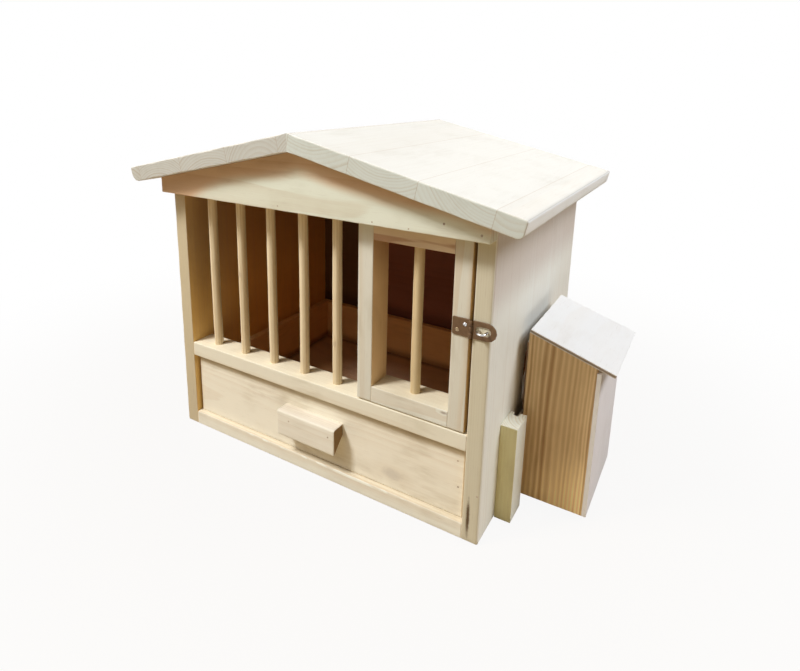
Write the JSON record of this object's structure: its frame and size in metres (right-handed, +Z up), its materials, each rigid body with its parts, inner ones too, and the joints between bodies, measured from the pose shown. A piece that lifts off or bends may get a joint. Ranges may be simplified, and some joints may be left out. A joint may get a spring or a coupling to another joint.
{
  "type": "wooden bird cage with roof",
  "caption": "Pine bird cage with pitched roof, barred front, pin-hung door with hasp, soil drawer with block handle and a feeder box sliding on grooved battens.",
  "frame": {"origin": "under the middle of the body, on the plane it stands on", "axes": "+X to the right along the width towards the feeder, -Y to the front with the door, +Z up"},
  "size_m": [0.5549, 0.348, 0.4014],
  "materials": {
    "pine": "bare planed pine",
    "roof_pine": "bare edge-glued pine panel",
    "bar_wood": "bare turned dowel",
    "striped_pine": "bare pine with close upright grain",
    "plywood": "bare thin plywood",
    "bronzed_steel": "bronzed thin sheet",
    "bright_steel": "bright drawn wire"
  },
  "bodies": {
    "cage": {"wall_left": "pine", "wall_right": "pine", "base_board": "pine", "rear_wall": "pine", "middle_rail": "pine", "header_rail": "pine", "gable_board": "pine", "roof_left": "roof_pine", "roof_right": "roof_pine", "bar_1": "bar_wood", "bar_2": "bar_wood", "bar_3": "bar_wood", "bar_4": "bar_wood", "bar_5": "bar_wood", "door_pin_lower": "bright_steel", "door_pin_upper": "bright_steel", "staple": "bright_steel", "guide_front": "pine", "guide_rear": "pine"},
    "door": {"door_stile_left": "pine", "door_stile_right": "pine", "door_rail_top": "pine", "door_rail_bottom": "pine", "door_bar": "bar_wood", "hasp_plate": "bronzed_steel", "hasp_pin": "bronzed_steel"},
    "hasp": {"hasp_leaf": "bronzed_steel"},
    "drawer": {"drawer_front": "pine", "drawer_side_left": "pine", "drawer_side_right": "pine", "drawer_rear_board": "pine", "drawer_floor": "plywood", "drawer_handle": "pine"},
    "feeder": {"feeder_back": "plywood", "feeder_side_front": "striped_pine", "feeder_side_rear": "striped_pine", "feeder_face": "plywood", "feeder_tray": "plywood", "feeder_lid": "plywood"}
  },
  "joints": [
    {"name": "door_swing", "type": "hinge", "parent": "cage", "child": "door", "pos_m": [0.073, -0.137, 0.1195], "axis": [0, 0, -1], "range_deg": [0, 110]},
    {"name": "hasp_swing", "type": "hinge", "parent": "door", "child": "hasp", "pos_m": [0.19025, -0.1553, 0.23], "axis": [0, 0, -1], "range_deg": [0, 150]},
    {"name": "drawer_slide", "type": "slide", "parent": "cage", "child": "drawer", "axis": [0, -1, 0], "range_m": [0, 0.2]},
    {"name": "feeder_lift", "type": "slide", "parent": "cage", "child": "feeder", "axis": [0, 0, 1], "range_m": [0, 0.085]}
  ]
}
